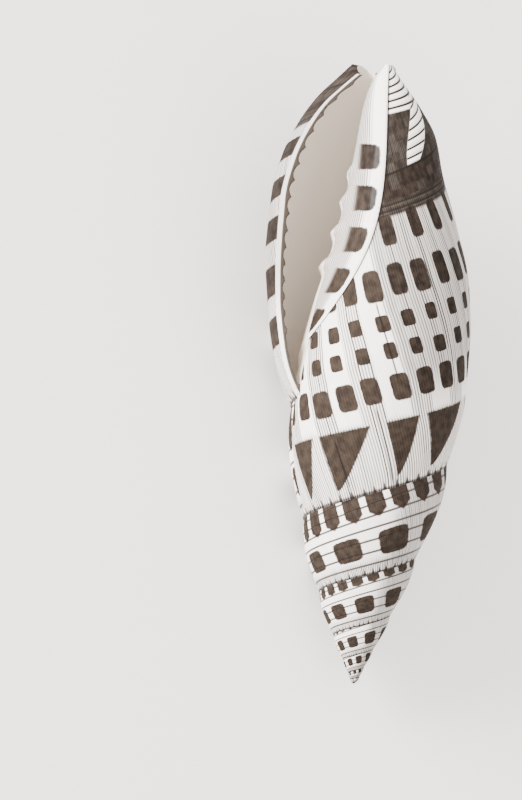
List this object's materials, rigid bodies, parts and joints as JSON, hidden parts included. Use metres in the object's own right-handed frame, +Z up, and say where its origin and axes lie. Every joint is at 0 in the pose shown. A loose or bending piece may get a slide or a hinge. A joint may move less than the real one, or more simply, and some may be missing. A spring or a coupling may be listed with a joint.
{
  "type": "mitre shell",
  "caption": "Empty mitre sea shell with a long spire and a narrow toothed opening, lying on its back with the opening up.",
  "frame": {"origin": "centre of the bounding box in plan, on the surface that the shell lies on", "axes": "+Z up, +Y along the shell towards its front end, the spire towards -Y, the opening up and to -X"},
  "size_m": [0.0384, 0.1086, 0.0355],
  "materials": {
    "shell": "smooth, glossy off-white shell with rows of dark umber blotches"
  },
  "bodies": {
    "root": {"shell": "shell"}
  },
  "joints": []
}
